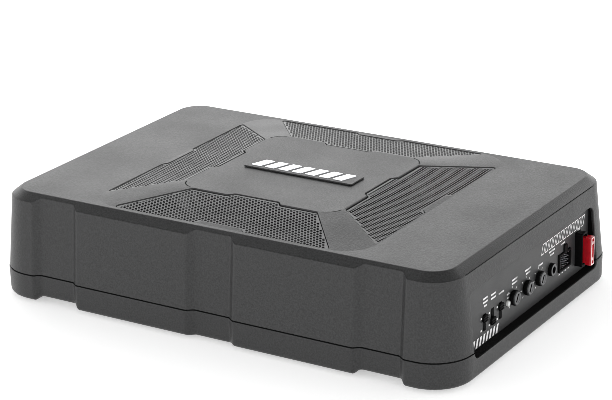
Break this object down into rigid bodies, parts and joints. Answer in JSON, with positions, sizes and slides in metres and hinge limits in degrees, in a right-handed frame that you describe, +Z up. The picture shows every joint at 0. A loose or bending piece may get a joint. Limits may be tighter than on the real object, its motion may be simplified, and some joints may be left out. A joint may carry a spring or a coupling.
{
  "type": "powered car subwoofer",
  "caption": "Slim powered car subwoofer: a sealed cast box with an upward-firing driver under a raised perforated grille and recessed amplifier controls on one end.",
  "frame": {"origin": "on the ground below the middle of the box, at the underside of the rubber feet", "axes": "+X along the length, towards the end with the control panel; +Y across, towards the end of the panel that holds the fuse; +Z up, the way the driver fires"},
  "size_m": [0.354, 0.236, 0.0821],
  "materials": {
    "powder_coat": "finely textured dark grey powder coat",
    "grille_steel": "perforated steel sheet, satin dark grey",
    "chrome_badge": "polished raised bars on a plate coated like the body",
    "black_rubber": "matt black",
    "surround_rubber": "satin black butyl",
    "black_plastic": "moulded, matt",
    "knob_plastic": "moulded, satin",
    "led_lens": "clear lens",
    "fuse_red": "translucent red",
    "circuit_board": "green solder mask",
    "bare_aluminium": "extruded",
    "copper_wire": "enamelled copper winding",
    "plated_steel": "zinc plated",
    "ferrite": "ground ferrite",
    "cone_paper": "pressed paper pulp, black",
    "spider_cloth": "resin-dipped woven cloth"
  },
  "bodies": {
    "enclosure": {"upper_cover": "powder_coat", "lower_base": "powder_coat", "seam_gasket": "black_rubber", "grille_mesh_right": "grille_steel", "grille_mesh_back": "grille_steel", "grille_mesh_left": "grille_steel", "grille_mesh_front": "grille_steel", "badge_plate": "chrome_badge", "control_panel": "powder_coat", "panel_seal": "black_rubber", "auto_on_switch_body": "black_plastic", "input_level_switch_body": "black_plastic", "phase_switch_body": "black_plastic", "bass_boost_potentiometer": "black_plastic", "crossover_potentiometer": "black_plastic", "gain_potentiometer": "black_plastic", "power_led": "led_lens", "remote_jack": "black_plastic", "power_connector": "black_plastic", "fuse_holder": "black_plastic", "amplifier_board": "circuit_board", "heat_sink": "bare_aluminium", "toroid_transformer": "copper_wire", "capacitor_1": "black_plastic", "capacitor_2": "black_plastic", "speaker_lead": "black_plastic", "driver_baffle": "black_plastic", "driver_basket": "plated_steel", "driver_surround": "surround_rubber", "spider": "spider_cloth", "magnet_top_plate": "plated_steel", "magnet_ring": "ferrite", "magnet_yoke": "plated_steel", "driver_screw_1": "plated_steel", "driver_screw_2": "plated_steel", "driver_screw_3": "plated_steel", "driver_screw_4": "plated_steel", "rubber_foot_1": "black_rubber", "rubber_foot_2": "black_rubber", "rubber_foot_3": "black_rubber", "rubber_foot_4": "black_rubber", "rubber_foot_5": "black_rubber", "rubber_foot_6": "black_rubber", "rubber_foot_7": "black_rubber", "rubber_foot_8": "black_rubber", "base_screw_1": "plated_steel", "base_screw_2": "plated_steel", "base_screw_3": "plated_steel", "base_screw_4": "plated_steel"},
    "auto_on_switch_slider": {"auto_on_switch_slider": "black_plastic"},
    "input_level_switch_slider": {"input_level_switch_slider": "black_plastic"},
    "phase_switch_slider": {"phase_switch_slider": "black_plastic"},
    "bass_boost_knob": {"bass_boost_knob": "knob_plastic"},
    "crossover_knob": {"crossover_knob": "knob_plastic"},
    "gain_knob": {"gain_knob": "knob_plastic"},
    "blade_fuse": {"blade_fuse": "fuse_red"},
    "driver_cone": {"driver_cone": "cone_paper", "dust_cap": "cone_paper", "voice_coil": "copper_wire"}
  },
  "joints": [
    {"name": "auto_on_switch_slide", "type": "slide", "parent": "enclosure", "child": "auto_on_switch_slider", "axis": [0, 0, 1], "range_m": [-0.0054, 0]},
    {"name": "input_level_switch_slide", "type": "slide", "parent": "enclosure", "child": "input_level_switch_slider", "axis": [0, 0, 1], "range_m": [0, 0.0054]},
    {"name": "phase_switch_slide", "type": "slide", "parent": "enclosure", "child": "phase_switch_slider", "axis": [0, 0, 1], "range_m": [-0.0054, 0]},
    {"name": "bass_boost_turn", "type": "hinge", "parent": "enclosure", "child": "bass_boost_knob", "pos_m": [0.1679, -0.0242, 0.032], "axis": [1, 0, 0], "range_deg": [-140, 140]},
    {"name": "crossover_turn", "type": "hinge", "parent": "enclosure", "child": "crossover_knob", "pos_m": [0.1679, -0.0052, 0.032], "axis": [1, 0, 0], "range_deg": [-140, 140]},
    {"name": "gain_turn", "type": "hinge", "parent": "enclosure", "child": "gain_knob", "pos_m": [0.1679, 0.0128, 0.032], "axis": [1, 0, 0], "range_deg": [-140, 140]},
    {"name": "fuse_pull", "type": "slide", "parent": "enclosure", "child": "blade_fuse", "axis": [1, 0, 0], "range_m": [0, 0.018]},
    {"name": "cone_stroke", "type": "slide", "parent": "enclosure", "child": "driver_cone", "axis": [0, 0, 1], "range_m": [-0.005, 0.005], "stiffness_N_per_m": 2500, "deforming": ["driver_surround", "spider"]}
  ]
}
